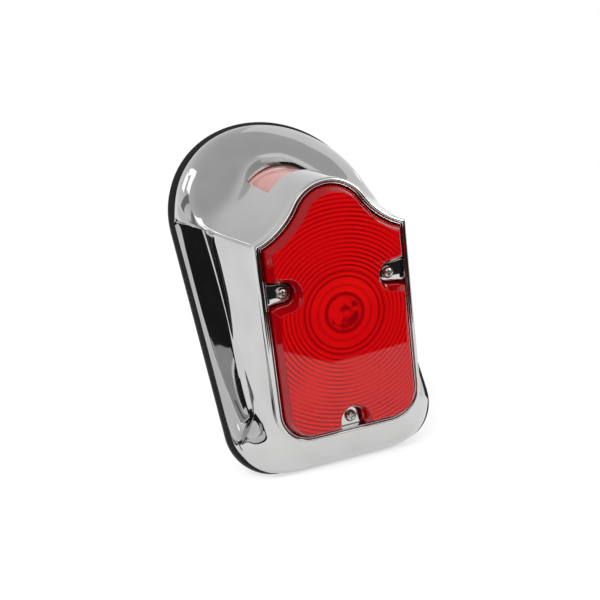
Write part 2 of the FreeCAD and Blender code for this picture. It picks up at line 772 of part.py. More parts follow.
def sector(low, high, start, sweep):
    """A wedge round the lens frame's z axis, for cutting slots in the holder wall."""
    near = dim("holder_bore") - 1.0
    far = dim("holder_outer") + 2.0
    corners = [
        FreeCAD.Vector(near, 0, low), FreeCAD.Vector(far, 0, low),
        FreeCAD.Vector(far, 0, high), FreeCAD.Vector(near, 0, high),
    ]
    face = Part.Face(Part.makePolygon(corners + corners[:1]))
    wedge = face.revolve(FreeCAD.Vector(), Z_AXIS, sweep)
    return in_row(wedge, FreeCAD.Placement(FreeCAD.Vector(), FreeCAD.Rotation(Z_AXIS, start)))


def pin_slots():
    """Per bayonet pin, a window it turns in and a slot that lets it in from the mouth."""
    radius = dim("pin_radius") + dim("slot_play")
    half = math.degrees(math.asin(radius / dim("holder_bore")))
    twist = dim("bulb_twist")
    slots = []
    for start, level in ((0.0, dim("pin_near")), (180.0, dim("pin_far"))):
        back = -level - radius - dim("bulb_travel")
        window = sector(back, -level + radius, start - half, twist + 2 * half)
        slots.append(window.fuse(sector(back, 0.0, start + twist - half, 2 * half)))
    return slots


def holder_shape():
    low = -dim("holder_back") - dim("holder_end")
    front = -dim("holder_front")
    tube = disc(0, 0, dim("holder_outer"), low, front)
    tube = tube.fuse(disc(0, 0, dim("holder_outer") + 1.0, front - 1.0, front))
    tube = tube.cut(disc(0, 0, dim("holder_bore"), low, front))
    for slot in pin_slots():
        tube = tube.cut(slot)
    return tube


feature("holder_bracket", bracket_shape(), FreeCAD.Placement())
feature("bulb_holder", holder_shape(), LENS)

rivets = []
for number, side in enumerate(SIDES, start=1):
    rivets.append(turned(
        f"rivet_{number}",
        [
            ("0", "dims.gasket_thick"),
            ("dims.rivet_radius", "dims.gasket_thick"),
            ("dims.rivet_radius", "dims.gasket_thick + dims.plate_thick + dims.bracket_sheet"),
            ("dims.rivet_radius * 1.9", "dims.gasket_thick + dims.plate_thick + dims.bracket_sheet"),
            ("dims.rivet_radius * 1.4",
             "dims.gasket_thick + dims.plate_thick + dims.bracket_sheet + dims.rivet_radius * 0.7"),
            ("0",
             "dims.gasket_thick + dims.plate_thick + dims.bracket_sheet + dims.rivet_radius"),
        ],
        shifted(BASE, side * foot_middle, 0, 0),
    ))
keep(grouped("bracket_rivets_group", rivets), "bracket_rivets")

end_disc = cylinder(
    "end_blank", "dims.holder_bore", "dims.holder_end",
    shifted(LENS, 0, 0, -dim("holder_back") - dim("holder_end")),
)
end_holes = joined("end_holes", [
    cylinder(
        f"end_hole_{number}", "dims.contact_radius", "dims.holder_end",
        shifted(LENS, side * dim("contact_out"), 0, -dim("holder_back") - dim("holder_end")),
    )
    for number, side in enumerate(SIDES, start=1)
])
keep(cut("end_disc_cut", end_disc, end_holes), "holder_end_disc")

contact_plate = cylinder(
    "contact_blank", "dims.disc_radius", "dims.disc_thick",
    shifted(LENS, 0, 0, -dim("disc_front") - dim("disc_thick")),
)
contact_holes = joined("contact_holes", [
    cylinder(
        f"contact_hole_{number}", "dims.contact_radius", "dims.disc_thick",
        shifted(LENS, side * dim("contact_out"), 0, -dim("disc_front") - dim("disc_thick")),
    )
    for number, side in enumerate(SIDES, start=1)
])
keep(cut("contact_plate_cut", contact_plate, contact_holes), "contact_disc")

contact_tails = "dims.disc_thick + 1.0"
keep(grouped("contacts_group", [
    cylinder(
        f"contact_{number}", "dims.contact_radius", contact_tails,
        shifted(LENS, side * dim("contact_out"), 0, -dim("disc_front") - formula(contact_tails)),
    )
    for number, side in enumerate(SIDES, start=1)
]), "spring_contacts")


def spring_shape(long):
    """The contact spring: an open coil between the disc and the end disc."""
    wire_r = dim("spring_wire")
    coil_r = dim("spring_radius")
    path = Part.makeHelix(long / dim("spring_turns"), long, coil_r)
    ring = Part.makeCircle(wire_r, FreeCAD.Vector(coil_r, 0, 0), FreeCAD.Vector(0, 1, 0))
    return Part.Wire(path.Edges).makePipeShell([Part.Wire([ring])], True, True)


spring_end = dim("spring_wire") + 0.05
spring_low = -dim("holder_back") + spring_end
spring_high = -dim("disc_front") - dim("disc_thick") - spring_end
feature("contact_spring", spring_shape(spring_high - spring_low), shifted(LENS, 0, 0, spring_low))


# ---------------------------------------------------------------- bulb

keep(turned(
    "bulb_cap",
    [
        ("dims.seal_radius", "-dims.cap_back"),
        ("dims.cap_radius", "-dims.cap_back + 1.0"),
        ("dims.cap_radius", "-dims.cap_front"),
        ("dims.cap_radius - 0.4", "-dims.cap_front"),
        ("dims.cap_radius - 0.4", "-dims.cap_back + 1.2"),
        ("dims.seal_radius", "-dims.cap_back + 1.2"),
    ],
    LENS,
), "bulb_cap")

keep(turned(
    "bulb_button",
    [
        ("0", "-dims.cap_back - dims.seal_thick"),
        ("dims.seal_radius - 1.0", "-dims.cap_back - dims.seal_thick"),
        ("dims.seal_radius", "-dims.cap_back"),
        ("dims.seal_radius", "-dims.cap_back + 1.2"),
        ("0", "-dims.cap_back + 1.2"),
    ],
    LENS,
), "bulb_button")

dot_high = "dims.disc_front - dims.cap_back - dims.seal_thick - 0.02"
keep(grouped("bulb_dots_group", [
    cylinder(
        f"bulb_dot_{number}", "dims.dot_radius", dot_high,
        shifted(LENS, side * dim("contact_out"), 0, -dim("disc_front") + 0.02),
    )
    for number, side in enumerate(SIDES, start=1)
]), "bulb_contacts")

pins = []
for number, (side, alias) in enumerate(((1, "pin_near"), (-1, "pin_far")), start=1):
    start = FreeCAD.Vector(side * dim("cap_radius"), 0, -dim(alias))
    turn = FreeCAD.Rotation(FreeCAD.Vector(0, 1, 0), side * 90)
    pin_frame = LENS.multiply(FreeCAD.Placement(start, turn))
    pins.append(cylinder(
        f"bulb_pin_{number}", "dims.pin_radius", "dims.pin_reach - dims.cap_radius", pin_frame
    ))
keep(grouped("bulb_pins_group", pins), "bulb_pins")


def glass_profile(inside):
    """Half section of the bulb glass: a neck in the cap and a round globe."""
    radius = dim("globe_radius") - inside
    neck = dim("globe_neck") - inside
    middle = -dim("globe_level")
    foot = FreeCAD.Vector(neck, 0, -dim("cap_front") - 3.0 + inside)
    drop = math.sqrt(radius**2 - neck**2)
    throat = FreeCAD.Vector(neck, 0, middle - drop)
    waist = FreeCAD.Vector(radius, 0, middle)
    tip = FreeCAD.Vector(0, 0, middle + radius)
    heel = FreeCAD.Vector(0, 0, foot.z)
    edges = [
        Part.LineSegment(heel, foot).toShape(),
        Part.LineSegment(foot, throat).toShape(),
        Part.Arc(throat, waist, tip).toShape(),
        Part.LineSegment(tip, heel).toShape(),
    ]
    return Part.Face(Part.Wire(edges)).revolve(FreeCAD.Vector(), Z_AXIS, 360)


feature("bulb_glass", glass_profile(0.0).cut(glass_profile(dim("glass_wall"))), LENS)

keep(turned(
    "bulb_stem",
    [
        ("0", "-dims.cap_front - 3.0 + dims.glass_wall"),
        ("dims.stem_radius * 1.6", "-dims.cap_front - 3.0 + dims.glass_wall"),
        ("dims.stem_radius", "-dims.cap_front"),
        ("dims.stem_radius", "-dims.stem_front - 0.8"),
        ("dims.stem_radius * 0.6", "-dims.stem_front"),
        ("0", "-dims.stem_front"),
    ],
    LENS,
), "bulb_stem")

wires = []
coils = []
FILAMENTS = ((-0.9, 4.0, "filament_tail"), (0.9, 3.0, "filament_stop"))
for number, (along_y, half_span, alias) in enumerate(FILAMENTS, start=1):
    for side in SIDES:
        wires.append(cylinder(
            f"support_{number}_{'left' if side < 0 else 'right'}", "dims.support_radius",
            f"dims.stem_front - dims.{alias} - dims.filament_radius",
            shifted(LENS, side * 1.0, along_y, -dim("stem_front")),
        ))
    spot = FreeCAD.Vector(-half_span, along_y, -dim(alias))
    coils.append(cylinder(
        f"filament_{number}", "dims.filament_radius", str(2 * half_span),
        LENS.multiply(FreeCAD.Placement(spot, FreeCAD.Rotation(FreeCAD.Vector(0, 1, 0), 90))),
    ))
keep(grouped("support_wires_group", wires), "support_wires")
keep(grouped("filaments_group", coils), "bulb_filaments")


# ---------------------------------------------------------------- write the pieces

doc.recompute()
for obj in doc.Objects:
    faults = [state for state in obj.State if state in ("Invalid", "Error")]
    if faults:
        raise RuntimeError(f"{obj.Label} is {faults}")
os.makedirs("parts", exist_ok=True)
for node in NODES:
    if node.Shape.isNull() or not node.Shape.isValid():
        raise RuntimeError(f"{node.Label} has no valid shape")
    node.Shape.exportStep(f"parts/{node.Label}.step")
    bounds = node.Shape.BoundBox
    print(
        f"{node.Label:18s} solids {len(node.Shape.Solids)} volume {node.Shape.Volume:10.1f} "
        f"x {bounds.XMin:.1f}..{bounds.XMax:.1f} y {bounds.YMin:.1f}..{bounds.YMax:.1f} "
        f"z {bounds.ZMin:.1f}..{bounds.ZMax:.1f}"
    )
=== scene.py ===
"""Looks of the tombstone tail light: chrome housing, red lens, bezel, bulb and fixings."""

import bmesh
import bpy
import json
import math
from mathutils import Matrix, Vector


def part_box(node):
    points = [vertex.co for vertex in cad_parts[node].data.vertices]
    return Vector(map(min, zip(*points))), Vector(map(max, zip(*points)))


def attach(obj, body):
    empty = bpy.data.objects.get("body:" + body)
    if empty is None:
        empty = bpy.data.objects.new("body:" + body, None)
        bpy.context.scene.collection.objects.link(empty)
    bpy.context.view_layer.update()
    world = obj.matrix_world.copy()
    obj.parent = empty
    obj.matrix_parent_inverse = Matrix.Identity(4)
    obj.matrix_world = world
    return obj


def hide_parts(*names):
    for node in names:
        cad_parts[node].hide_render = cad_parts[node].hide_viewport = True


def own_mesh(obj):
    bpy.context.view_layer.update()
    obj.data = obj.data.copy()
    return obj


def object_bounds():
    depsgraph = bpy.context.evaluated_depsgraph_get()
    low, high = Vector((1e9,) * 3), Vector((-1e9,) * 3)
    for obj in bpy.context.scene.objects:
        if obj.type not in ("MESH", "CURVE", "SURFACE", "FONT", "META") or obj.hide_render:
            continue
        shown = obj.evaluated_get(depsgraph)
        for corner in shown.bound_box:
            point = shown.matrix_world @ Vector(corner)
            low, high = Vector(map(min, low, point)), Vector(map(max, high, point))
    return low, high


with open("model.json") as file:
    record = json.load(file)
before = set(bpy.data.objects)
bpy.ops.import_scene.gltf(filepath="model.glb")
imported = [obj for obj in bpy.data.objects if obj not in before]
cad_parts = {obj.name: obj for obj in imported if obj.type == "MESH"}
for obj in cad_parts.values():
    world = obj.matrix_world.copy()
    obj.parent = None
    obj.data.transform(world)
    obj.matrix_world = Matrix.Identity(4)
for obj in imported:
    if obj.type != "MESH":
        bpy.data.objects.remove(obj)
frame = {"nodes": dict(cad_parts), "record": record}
cad_low, cad_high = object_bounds()
scene = bpy.context.scene

MM = 0.001
# The lens frame has x right, y up and z out of the lens face; z = 0 is the face, at the bull's-eye.
lens_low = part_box("lens")[0]
cap_low, cap_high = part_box("bulb_cap")
LENS = Matrix.Translation((0, lens_low.y, (cap_low.z + cap_high.z) / 2)) @ Matrix.Rotation(
    math.radians(90), 4, "X"
)
# The base frame has x right, y up the gasket and z away from the fender; z = 0 is the gasket's back.
MOUNTS = {mount["name"]: mount for mount in frame["record"]["mounts"]}
out_of_fender = Vector(MOUNTS["mount_face"]["axis"])
BASE_TILT = math.acos(abs(out_of_fender.y))
BASE = Matrix.Rotation(math.radians(90) - BASE_TILT, 4, "X")


# ---------------------------------------------------------------- small tools


def point(place, x, y, z):
    """A point given in millimetres in the lens or base frame, in the row frame in metres."""
    return place @ Vector((x * MM, y * MM, z * MM))


def piece(name, mesh_form, finish, body, slot, *stands_for, smooth=True):
    """Turns a finished bmesh into a piece that rides on a body and has a finish."""
    mesh = bpy.data.meshes.new(name)
    mesh_form.to_mesh(mesh)
    mesh_form.free()
    made = bpy.data.objects.new(name, mesh)
    scene.collection.objects.link(made)
    mesh.materials.append(finish)
    for face in mesh.polygons:
        face.use_smooth = smooth
    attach(made, body)
    if stands_for:
        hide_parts(*stands_for)
    return made


def baked(made):
    """Applies a piece's modifiers to its mesh."""
    graph = bpy.context.evaluated_depsgraph_get()
    mesh = bpy.data.meshes.new_from_object(made.evaluated_get(graph))
    made.modifiers.clear()
    made.data = mesh


def carve(made, tool_form, operation="DIFFERENCE"):
    """Cuts a closed bmesh out of a piece, or keeps or adds what they share."""
    mesh = bpy.data.meshes.new("cutter")
    tool_form.to_mesh(mesh)
    tool_form.free()
    tool = bpy.data.objects.new("cutter", mesh)
    scene.collection.objects.link(tool)
    boolean = made.modifiers.new("carve", "BOOLEAN")
    boolean.operation = operation
    boolean.solver = "EXACT"
    boolean.object = tool
    bpy.context.view_layer.update()
    baked(made)
    bpy.data.objects.remove(tool)


def creased(made, degrees):
    """Keeps edges steeper than an angle sharp under smooth shading."""
    made.data.set_sharp_from_angle(angle=math.radians(degrees))


def settle(form):
    """Puts edges and faces in one order, because an extrusion leaves a different one on each run."""
    form.verts.index_update()
    count = len(form.verts)

    def rank(item):
        lowest = sorted(vert.index for vert in item.verts)[:3]
        return sum(index * count ** (2 - place) for place, index in enumerate(lowest))

    form.edges.sort(key=rank)
    form.faces.sort(key=rank)


def outward(form):
    """Merges doubles and turns every face of a closed form outwards."""
    settle(form)
    bmesh.ops.remove_doubles(form, verts=form.verts, dist=0.00001)
    bmesh.ops.recalc_face_normals(form, faces=form.faces)
    return form


# ---------------------------------------------------------------- outlines


def bell_outline(half_width, shoulder, apex, crest, foot, corner, grow):
    """The bell-topped outline as a function of edge number and share, right half, from the top.

    Edges: 0 crest, 1 cove, 2 side, 3 lower corner, 4 lower edge to the middle.
    """
    # the cove touches the crest's arc and meets the shoulder at this slope
    slope = math.radians(22)
    rise = shoulder - (apex - crest)
    cove = (crest**2 - half_width**2 - rise**2) / (
        2 * half_width * math.sin(slope) + 2 * rise * math.cos(slope) - 2 * crest
    )
    cove_x = half_width + cove * math.sin(slope)
    cove_y = shoulder + cove * math.cos(slope)
    crest_y = apex - crest
    lean = math.atan2(cove_y - crest_y, cove_x)
    crest_r, cove_r, wide = crest + grow, cove - grow, half_width + grow
    low, corner_r = -foot - grow, corner + grow
    end_y = cove_y - math.sqrt(cove_r**2 - (wide - cove_x) ** 2)
    cove_end = math.atan2(end_y - cove_y, wide - cove_x) + 2 * math.pi

    def at(edge, share):
        if edge == 0:
            angle = math.pi / 2 + (lean - math.pi / 2) * share
            return crest_r * math.cos(angle), crest_y + crest_r * math.sin(angle)
        if edge == 1:
            angle = lean + math.pi + (cove_end - lean - math.pi) * share
            return cove_x + cove_r * math.cos(angle), cove_y + cove_r * math.sin(angle)
        if edge == 2:
            return wide, end_y + (low + corner_r - end_y) * share
        if edge == 3:
            angle = -math.pi / 2 * share
            return (
                wide - corner_r + corner_r * math.cos(angle),
                low + corner_r + corner_r * math.sin(angle),
            )
        return (wide - corner_r) * (1 - share), low

    return at


def lens_outline(grow):
    """The lens outline, grown by grow millimetres."""
    return bell_outline(
        half_width=33.4, shoulder=34.0, apex=58.1, crest=17.0, foot=57.5, corner=13.5, grow=grow,
    )


# how many parts each edge of the outline is divided into for the swept rings
FINE = ((0, 12), (1, 12), (2, 22), (3, 10), (4, 12))


def around(grow):
    """Points round the whole lens outline, grown by grow, clockwise from the top middle."""
    at = lens_outline(grow)
    right = [at(edge, step / parts) for edge, parts in FINE for step in range(parts)]
    right.append(at(4, 1))
    left = [(-x, y) for x, y in right[-2:0:-1]]
    return right + left


SCREWS = ((26.0, 12.6), (-26.0, 12.6), (0.0, -52.5))
# the notch round each screw: its radius, and how far its mouth flares
NOTCH, MOUTH = 5.4, 1.3


def notched(grow, radius):
    """The lens outline with a flared notch at each screw, clockwise from the top middle."""
    at = lens_outline(grow)
    side_x, side_y = SCREWS[0]
    wide, low = at(2, 0)[0], at(4, 0)[1]
    right = [at(edge, step / 16) for edge in (0, 1) for step in range(16)]
    top, end = side_y + radius + MOUTH, at(2, 1)[1]
    right += [(wide, at(2, 0)[1] + (top - at(2, 0)[1]) * step / 6) for step in range(7)]
    right.append(((wide + side_x) / 2, side_y + radius + MOUTH * 0.25))
    turns = [math.pi / 2 + math.pi * step / 14 for step in range(15)]
    right += [(side_x + radius * math.cos(turn), side_y + radius * math.sin(turn)) for turn in turns]
    right.append(((wide + side_x) / 2, side_y - radius - MOUTH * 0.25))
    bottom = side_y - radius - MOUTH
    right += [(wide, bottom + (end - bottom) * step / 12) for step in range(12)]
    right += [at(3, step / 12) for step in range(12)]
    start = at(4, 0)[0]
    mouth = radius + MOUTH * 0.7
    right += [(start + (mouth - start) * step / 6, low) for step in range(7)]
    middle = SCREWS[2][1]
    right.append((radius + MOUTH * 0.15, (low + middle) / 2))
    turns = [math.pi / 2 * step / 8 for step in range(9)]
    right += [(radius * math.cos(turn), middle + radius * math.sin(turn)) for turn in turns]
    left = [(-x, y) for x, y in right[-2:0:-1]]
    return right + left


def stacked(layers, place=LENS, ring=False):
    """A closed form through (outline, level) layers; a ring joins its last layer to its first."""
    if ring:
        layers = [*layers, layers[0]]
    form = bmesh.new()
    count = len(layers[0][0])
    verts = bmesh.ops.create_circle(form, segments=count, radius=MM)["verts"]
    number = {vert: index for index, vert in enumerate(verts)}
    edges = list(form.edges)
    for layer, (outline, level) in enumerate(layers):
        if layer:
            grown = bmesh.ops.extrude_edge_only(form, edges=edges)["geom"]
            fresh = [item for item in grown if isinstance(item, bmesh.types.BMVert)]
            edges = [item for item in grown if isinstance(item, bmesh.types.BMEdge)]
            edges = [edge for edge in edges if all(vert in fresh for vert in edge.verts)]
            moved = {}
            for vert in fresh:
                beside = (edge.other_vert(vert) for edge in vert.link_edges)
                moved[vert] = next(number[other] for other in beside if other in number)
            number = moved
        for vert, index in number.items():
            vert.co = point(place, *outline[index], level)
    settle(form)
    bmesh.ops.remove_doubles(form, verts=form.verts, dist=0.00001)
    if not ring:
        bmesh.ops.holes_fill(form, edges=form.edges, sides=0)
    return outward(form)


def swept(section):
    """A ring with the lens outline; section is (grow, level) points of its cross-section."""
    return stacked([(around(grow), level) for grow, level in section], ring=True)


def coil(place, x, y, level, radius, wire, turns, length, steps=16):
    """A wire wound along the place's z axis, from a small circle turned and moved on."""
    form = bmesh.new()
    bmesh.ops.create_circle(form, segments=8, radius=wire * MM)
    for vert in form.verts:
        across, along = vert.co.x / MM, vert.co.y / MM
        vert.co = point(place, x + radius + across, y, level + along)
    axis = place.to_3x3() @ Vector((0, 0, 1))
    count = round(turns * steps)
    bmesh.ops.spin(
        form, geom=form.verts[:] + form.edges[:], cent=point(place, x, y, 0), axis=axis,
        dvec=axis * length * MM / count, angle=math.tau * turns, steps=count,
    )
    settle(form)
    bmesh.ops.holes_fill(form, edges=form.edges, sides=0)
    return outward(form)


def turned(profile, steps=64, place=LENS, x=0.0, y=0.0):
    """A form turned about the place's z axis through x, y; profile is (radius, level)."""
    form = bmesh.new()
    verts = [form.verts.new(point(place, x + radius, y, level)) for radius, level in profile]
    edges = [form.edges.new(pair) for pair in zip(verts, verts[1:])]
    bmesh.ops.spin(
        form, geom=verts + edges, cent=point(place, x, y, 0), axis=place.to_3x3() @ Vector((0, 0, 1)),
        angle=math.tau, steps=steps, use_merge=True,
    )
    return outward(form)


# ---------------------------------------------------------------- finishes


def linear(code):
    """An sRGB hex colour as linear RGBA."""
    values = [int(code[i:i + 2], 16) / 255 for i in (1, 3, 5)]
    return (*[v / 12.92 if v <= 0.04045 else ((v + 0.055) / 1.055) ** 2.4 for v in values], 1.0)


def add(tree, kind, sockets=None, **settings):
    """Adds a node with its settings; sockets maps input names or numbers to values or outputs."""
    made = tree.nodes.new(kind)
    for name, value in settings.items():
        setattr(made, name, value)
    for socket, value in (sockets or {}).items():
        if isinstance(value, bpy.types.NodeSocket):
            tree.links.new(value, made.inputs[socket])
        else:
            made.inputs[socket].default_value = value
    return made


def finish_of(name, **sockets):
    """A new material: its tree, its Principled shader and an Object coordinates output."""
    made = bpy.data.materials.new(name)
    made.use_nodes = True
    tree = made.node_tree
    shader = tree.nodes["Principled BSDF"]
    for socket, value in sockets.items():
        shader.inputs[socket.replace("_", " ")].default_value = value
    where = add(tree, "ShaderNodeTexCoord").outputs["Object"]
    return made, tree, shader, where


def grained(tree, shader, where, low, high, spacing, rough_low, rough_high, bump, depth=3.0):
    """Colour, roughness and bump from one noise whose cells are spacing millimetres wide."""
    noise = add(tree, "ShaderNodeTexNoise", {
        "Vector": where, "Scale": 1 / (spacing * MM), "Detail": depth, "Roughness": 0.55,
    })
    colour = add(tree, "ShaderNodeMix", {
        "Factor": noise.outputs["Fac"], 6: linear(low), 7: linear(high),
    }, data_type="RGBA")
    rough = add(tree, "ShaderNodeMapRange", {
        "Value": noise.outputs["Fac"], "From Min": 0.3, "From Max": 0.7,
        "To Min": rough_low, "To Max": rough_high,
    })
    height = add(tree, "ShaderNodeBump", {
        "Height": noise.outputs["Fac"], "Strength": bump, "Distance": spacing * MM * 0.2,
    })
    tree.links.new(colour.outputs[2], shader.inputs["Base Color"])
    tree.links.new(rough.outputs["Result"], shader.inputs["Roughness"])
    tree.links.new(height.outputs["Normal"], shader.inputs["Normal"])


def chrome_plate():
    """Bright chrome over polished die-cast zinc: a mirror with the faint long waves of buffing."""
    made, tree, shader, where = finish_of("polished_chrome_plate", Metallic=1.0)
    grained(tree, shader, where, "#babab9", "#c4c4c4", 12.0, 0.03, 0.06, 0.015, 0.0)
    return made


def simple_finish(name, low, high, spacing, rough_low, rough_high, bump, **sockets):
    """A finish whose colour, roughness and bump follow one grain; see grained for the numbers."""
    made, tree, shader, where = finish_of(name, **sockets)
    grained(tree, shader, where, low, high, spacing, rough_low, rough_high, bump)
    return made


def lens_acrylic():
    """Clear-moulded red acrylic: glossy deep red, with painted shade in the grooves between the prism rings,
    painted light in soft brighter patches and a painted shade of the bulb behind the eye.
    """
    made, tree, shader, where = finish_of(
        "moulded_red_acrylic", IOR=1.49, Transmission_Weight=0.4, Roughness=0.03, Specular_IOR_Level=0.3,
    )
    eye = point(LENS, 0, 0, 0)
    centred = add(tree, "ShaderNodeVectorMath", {0: where, 1: eye}, operation="SUBTRACT")
    across_face = (1, 0, 1)
    flat = add(tree, "ShaderNodeVectorMath", {
        0: centred.outputs[0], 1: across_face,
    }, operation="MULTIPLY")
    radius = add(tree, "ShaderNodeVectorMath", {0: flat.outputs[0]}, operation="LENGTH").outputs["Value"]
    # painted shade in the grooves between ridges 2 mm apart: 1 in a groove, 0 on a crest
    phase = add(tree, "ShaderNodeMath", {0: radius, 1: 1.0 * MM}, operation="PINGPONG")
    groove = add(tree, "ShaderNodeMapRange", {
        "Value": phase.outputs[0], "From Min": 0.1 * MM, "From Max": 0.75 * MM,
        "To Min": 1.0, "To Max": 0.0,
    }, interpolation_type="SMOOTHSTEP").outputs["Result"]
    # painted light: a soft cloud stands for the uneven light behind the lens; the painted shade of the rings
    # fades where that light is even, and is strongest above the eye
    backlight_cloud = add(tree, "ShaderNodeTexNoise", {"Vector": where, "Scale": 1 / (26 * MM), "Detail": 1.0})
    fade = add(tree, "ShaderNodeMapRange", {
        "Value": backlight_cloud.outputs["Fac"], "From Min": 0.35, "From Max": 0.65,
        "To Min": 0.35, "To Max": 0.95,
    })
    outer = add(tree, "ShaderNodeMath", {0: radius, 1: 20.2 * MM}, operation="GREATER_THAN")
    groove = add(tree, "ShaderNodeMath", {0: groove, 1: outer.outputs[0]}, operation="MULTIPLY")
    groove = add(tree, "ShaderNodeMath", {
        0: groove.outputs[0], 1: fade.outputs["Result"],
    }, operation="MULTIPLY")
    # painted light: the same cloud paints the red brighter in soft patches
    bright = add(tree, "ShaderNodeMix", {
        "Factor": backlight_cloud.outputs["Fac"], 6: linear("#c8000b"), 7: linear("#ee120e"),
    }, data_type="RGBA")
    ringed = add(tree, "ShaderNodeMix", {
        "Factor": groove.outputs[0], 6: bright.outputs[2], 7: linear("#860009"),
    }, data_type="RGBA")
    # painted shade: thick darker rings round the bull's-eye, soft edged
    for size, width, strength in ((8.9, 1.3, 0.85), (12.9, 0.9, 0.35), (16.9, 0.8, 0.8), (19.3, 0.9, 0.75)):
        away = add(tree, "ShaderNodeMath", {0: radius, 1: size * MM}, operation="SUBTRACT")
        away = add(tree, "ShaderNodeMath", {0: away.outputs[0]}, operation="ABSOLUTE")
        band = add(tree, "ShaderNodeMapRange", {
            "Value": away.outputs[0], "From Min": width * 0.35 * MM, "From Max": width * MM,
            "To Min": strength, "To Max": 0.0,
        }, interpolation_type="SMOOTHSTEP")
        ringed = add(tree, "ShaderNodeMix", {
            "Factor": band.outputs["Result"], 6: ringed.outputs[2], 7: linear("#8c0008"),
        }, data_type="RGBA")
    # painted shade: soft dark patches painted round the eye stand for the bulb behind it
    bulb_shade_noise = add(tree, "ShaderNodeTexNoise", {
        "Vector": where, "Scale": 1 / (6 * MM), "Detail": 1.5, "Distortion": 0.6,
    })
    patch = add(tree, "ShaderNodeMapRange", {
        "Value": bulb_shade_noise.outputs["Fac"], "From Min": 0.44, "From Max": 0.62,
        "To Min": 0.05, "To Max": 0.8,
    }, interpolation_type="SMOOTHSTEP")
    inside = add(tree, "ShaderNodeMapRange", {
        "Value": radius, "From Min": 6.6 * MM, "From Max": 8.4 * MM,
        "To Min": 1.0, "To Max": 0.0,
    })
    shade = add(tree, "ShaderNodeMath", {
        0: patch.outputs["Result"], 1: inside.outputs["Result"],
    }, operation="MULTIPLY")
    ringed = add(tree, "ShaderNodeMix", {
        "Factor": shade.outputs[0], 6: ringed.outputs[2], 7: linear("#6a0008"),
    }, data_type="RGBA")
    tree.links.new(ringed.outputs[2], shader.inputs["Base Color"])
    return made


CHROME = chrome_plate()
RED = lens_acrylic()
# the same acrylic on the plain walls and flange, painted darker: partly for more of its thickness seen there,
# partly painted shade
SHADED_RED_WALL = simple_finish("moulded_red_acrylic_shaded_edge", "#9c0008", "#b2010b", 14.0, 0.02, 0.05, 0.02,
                         IOR=1.49, Transmission_Weight=0.4, Specular_IOR_Level=0.22)
# pressed rubber: dull black with a fine bloom; its 0.1 mm grain is drawn at 0.6 mm to show
RUBBER = simple_finish("black_sheet_rubber", "#0a0a0b", "#131314", 0.6, 0.6, 0.8, 0.25, IOR=1.52,
                       Specular_IOR_Level=0.25)
# softer, slightly greyer and smoother rubber of the thin seals
SEAL = simple_finish("soft_seal_rubber", "#101011", "#1b1b1c", 0.8, 0.5, 0.7, 0.2, IOR=1.52)
# nickel over rolled steel: a satin shine with fine tumbling marks
NICKEL = simple_finish("nickel_plated_steel", "#a6a39e", "#bfbcb6", 1.5, 0.16, 0.3, 0.12, Metallic=1.0)
# bright zinc over pressed steel: a cool, cloudy half-shine with 2.5 mm spangle
ZINC = simple_finish("bright_zinc_plate", "#a7abb0", "#bcc0c4", 2.5, 0.22, 0.4, 0.1, Metallic=1.0)
# drawn and blued-off spring wire: darker, with lengthwise drawing marks
SPRING = simple_finish("spring_steel", "#84868a", "#9b9da1", 1.0, 0.2, 0.35, 0.08, Metallic=1.0)
# bare drawn brass of the contacts: yellow with light handling marks
BRASS = simple_finish("drawn_brass", "#c39a4e", "#d5ae62", 1.5, 0.18, 0.32, 0.1, Metallic=1.0)
# nickel over brass on the bulb's base and its holder: warmer and brighter than the screws
SHELL_BRASS = simple_finish("nickel_plated_brass", "#b9b6ac", "#cbc8be", 2.0, 0.14, 0.26, 0.08,
                            Metallic=1.0)
# paper-filled phenolic board: matt brown with fibres about 1 mm long
LAMINATE = simple_finish("paper_phenolic_sheet", "#5a3a22", "#6e4a2c", 1.2, 0.45, 0.6, 0.15, IOR=1.55)
# fused black glass under the bulb's base: glossy black with slight ripples
BLACK_GLASS = simple_finish("black_cap_glass", "#08080a", "#111114", 1.5, 0.08, 0.18, 0.05, IOR=1.52)
# solder domes: silvery, half-matt, with a wrinkled skin
SOLDER = simple_finish("tin_solder", "#b3b5b8", "#c6c8ca", 0.8, 0.25, 0.45, 0.3, Metallic=1.0)
# blown bulb glass: clear, with long faint waves
GLASS = simple_finish("clear_bulb_glass", "#fafcfc", "#ffffff", 12.0, 0.01, 0.03, 0.02,
                      IOR=1.5, Transmission_Weight=1.0)
# coiled tungsten: dull grey wire
TUNGSTEN = simple_finish("tungsten_wire", "#6d6e72", "#86878a", 0.4, 0.3, 0.5, 0.2, Metallic=1.0)
# clear acrylic pane, painted pink: painted light from the red lens behind it
PAINTED_LIGHT_PANE = simple_finish("clear_acrylic_pane_painted_pink", "#d88f86", "#e4a39a", 10.0, 0.03, 0.08, 0.02,
                     IOR=1.49, Transmission_Weight=0.35)

FINISHES = {
    "chrome": CHROME, "red_lens": RED, "seal_rubber": SEAL, "gasket_rubber": RUBBER,
    "screw_steel": NICKEL, "zinc_steel": ZINC, "clear_pane": PAINTED_LIGHT_PANE, "spring_steel": SPRING,
    "nickel_brass": SHELL_BRASS, "laminate": LAMINATE, "brass": BRASS, "black_glass": BLACK_GLASS,
    "solder": SOLDER, "bulb_glass": GLASS, "tungsten": TUNGSTEN,
}
for part in frame["record"]["subparts"]:
    mesh = frame["nodes"][part["node"]].data
    mesh.materials.clear()
    mesh.materials.append(FINISHES[part["material_slot"]])


# ---------------------------------------------------------------- housing

# the base outline in the base frame: half width, centre height of its round top, lower edge and
# lower corners; then where the skin starts above the gasket and where its lip ends
PAN_WIDE, PAN_ROUND, PAN_LOW, PAN_CORNER = 52.3, 39.7, -96.2, 23.0
GASKET_THICK, LIP_TOP = 3.5, 4.9
